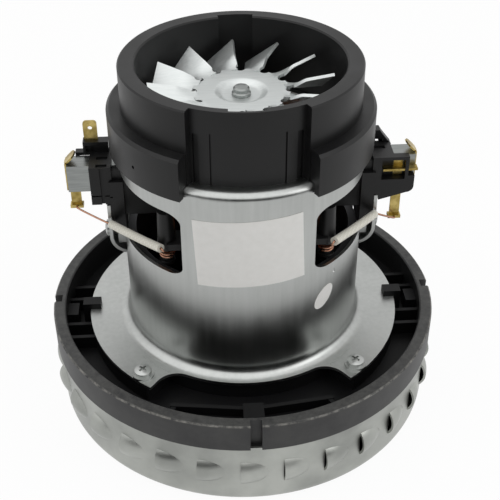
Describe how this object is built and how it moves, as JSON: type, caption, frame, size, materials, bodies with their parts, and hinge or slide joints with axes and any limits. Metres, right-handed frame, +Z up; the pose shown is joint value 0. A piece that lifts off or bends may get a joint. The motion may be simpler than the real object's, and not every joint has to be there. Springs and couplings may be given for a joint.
{
  "type": "vacuum motor unit",
  "caption": "By-pass vacuum motor: louvred fan drum, moulded mounting ring, windowed steel can with side brush gear and a cooling fan in an open collar.",
  "frame": {"origin": "middle of the fan drum's floor, on the surface that the unit stands on", "axes": "+Z runs up the shaft from the intake to the cooling fan; -Y is the front of the picture; -X is its left brush holder"},
  "size_m": [0.1462, 0.146, 0.135],
  "materials": {
    "drum_aluminium": "satin",
    "fan_aluminium": "satin",
    "zinc_steel": "satin",
    "black_plastic": "satin",
    "bright_steel": "satin",
    "core_iron": "matte",
    "copper": "satin",
    "brass": "satin",
    "sleeve_glass_fibre": "matte",
    "carbon": "matte",
    "brown_fibre": "matte"
  },
  "bodies": {
    "housing": {"fan_casing": "drum_aluminium", "mounting_ring": "black_plastic", "bearing_plate": "black_plastic", "motor_can": "zinc_steel", "top_collar": "black_plastic", "flange_screws": "zinc_steel", "flange_washers": "zinc_steel", "stator_core": "core_iron", "field_coil_front": "copper", "field_coil_rear": "copper", "coil_frame_front": "black_plastic", "coil_frame_rear": "black_plastic", "upper_bearing_outer": "bright_steel", "lower_bearing_outer": "bright_steel", "bearing_balls": "bright_steel", "brush_holder_left": "black_plastic", "brush_holder_right": "black_plastic", "brush_tube_left": "bright_steel", "brush_tube_right": "bright_steel", "brush_cap_left": "brass", "brush_cap_right": "brass", "lead_terminal_left": "brass", "lead_terminal_right": "brass", "supply_tab_left": "brass", "supply_tab_right": "brass", "lead_wire_left": "copper", "lead_wire_right": "copper", "lead_sleeve_left": "sleeve_glass_fibre", "lead_sleeve_right": "sleeve_glass_fibre", "brush_screws": "zinc_steel", "brush_nuts": "zinc_steel", "brush_spring_left": "bright_steel", "brush_spring_right": "bright_steel"},
    "rotor": {"shaft": "bright_steel", "armature_core": "core_iron", "armature_insulator": "brown_fibre", "armature_winding": "copper", "commutator": "copper", "commutator_risers": "copper", "cooling_fan": "fan_aluminium", "fan_bush": "bright_steel", "upper_bearing_inner": "bright_steel", "lower_bearing_inner": "bright_steel", "impeller_back_plate": "drum_aluminium", "impeller_blade_set": "drum_aluminium", "impeller_front_plate": "drum_aluminium", "impeller_bush": "bright_steel", "impeller_washer": "zinc_steel", "impeller_nut": "zinc_steel"},
    "brush_left": {"carbon_brush_left": "carbon"},
    "brush_right": {"carbon_brush_right": "carbon"}
  },
  "joints": [
    {"name": "rotor_spin", "type": "hinge", "parent": "housing", "child": "rotor", "pos_m": [0, 0, 0.07], "axis": [0, 0, 1], "continuous": true},
    {"name": "brush_left_slide", "type": "slide", "parent": "housing", "child": "brush_left", "axis": [-1, 0, 0], "range_m": [0, 0.008], "stiffness_N_per_m": 250, "springref_m": -0.012, "deforming": ["brush_spring_left"]},
    {"name": "brush_right_slide", "type": "slide", "parent": "housing", "child": "brush_right", "axis": [1, 0, 0], "range_m": [0, 0.008], "stiffness_N_per_m": 250, "springref_m": -0.012, "deforming": ["brush_spring_right"]}
  ]
}
